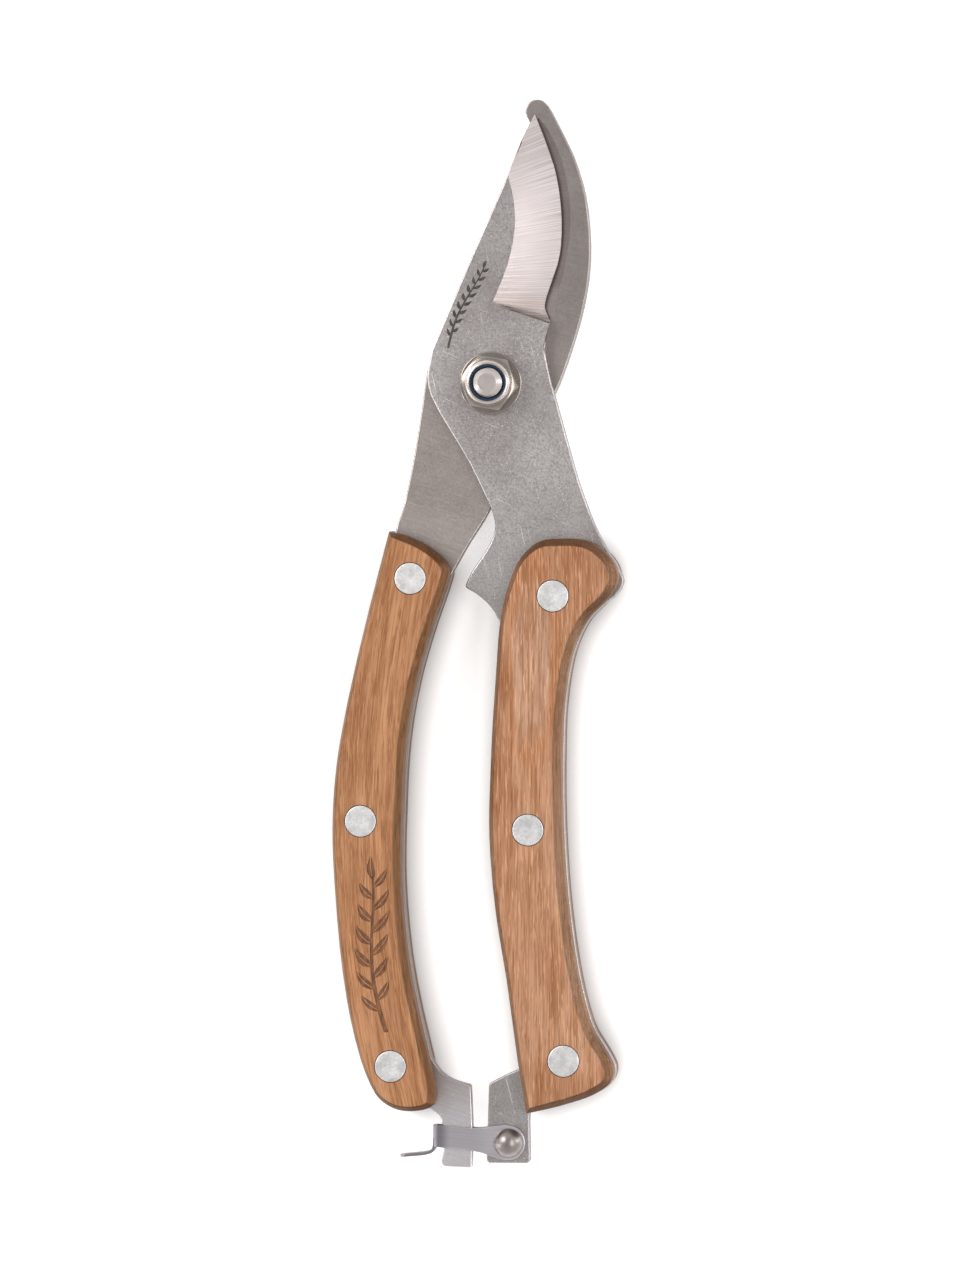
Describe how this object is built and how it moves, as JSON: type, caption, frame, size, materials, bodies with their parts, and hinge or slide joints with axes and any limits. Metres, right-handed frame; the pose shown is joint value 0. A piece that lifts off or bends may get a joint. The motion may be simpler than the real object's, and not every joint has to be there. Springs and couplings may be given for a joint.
{
  "type": "bypass secateurs",
  "caption": "One-handed bypass secateurs: curved blade and hooked counter blade on one pivot, riveted wooden scales, swinging latch at the handle ends.",
  "frame": {"origin": "centre of the tool's box in X and Y, on the outer faces of the back scales (Z = 0), with the handles latched", "axes": "+X across the tool towards the fixed handle, +Y along it towards the blade's tip, +Z out of the front, where the pivot nut is"},
  "size_m": [0.0573, 0.21, 0.018],
  "materials": {
    "plate_steel": "tumbled stainless plate, fine scratches, bright edges",
    "hook_steel": "stainless plate, faintly brushed across, a little darker and warmer",
    "fastener_steel": "polished stainless",
    "rivet_metal": "satin, slightly dimpled",
    "latch_steel": "bright sheet",
    "spring_steel": "drawn wire",
    "wood_right": "oiled ash or beech, straight pale grain",
    "wood_left": "oiled ash or beech, wavy brown grain",
    "nylon": "dark blue"
  },
  "bodies": {
    "fixed_handle": {"blade_plate": "plate_steel", "scale_right_front": "wood_right", "scale_right_back": "wood_right", "rivet_right_1_front": "rivet_metal", "rivet_right_1_back": "rivet_metal", "rivet_right_2_front": "rivet_metal", "rivet_right_2_back": "rivet_metal", "rivet_right_3_front": "rivet_metal", "rivet_right_3_back": "rivet_metal", "pivot_bolt": "fastener_steel", "pivot_bush": "fastener_steel", "pivot_washer": "fastener_steel", "pivot_nut": "fastener_steel", "nut_insert": "nylon", "return_spring": "spring_steel", "latch_rivet": "latch_steel"},
    "moving_handle": {"hook_plate": "hook_steel", "scale_left_front": "wood_left", "scale_left_back": "wood_left", "rivet_left_1_front": "rivet_metal", "rivet_left_1_back": "rivet_metal", "rivet_left_2_front": "rivet_metal", "rivet_left_2_back": "rivet_metal", "rivet_left_3_front": "rivet_metal", "rivet_left_3_back": "rivet_metal"},
    "latch": {"latch": "latch_steel"}
  },
  "joints": [
    {"name": "handle_pivot", "type": "hinge", "parent": "fixed_handle", "child": "moving_handle", "pos_m": [0.00265, 0.0493, 0.00725], "axis": [0, 0, -1], "range_deg": [-0.8, 38], "deforming": ["return_spring"]},
    {"name": "latch_swing", "type": "hinge", "parent": "fixed_handle", "child": "latch", "pos_m": [0.00595, -0.0999, 0.00725], "axis": [0, 0, 1], "range_deg": [0, 105]}
  ]
}
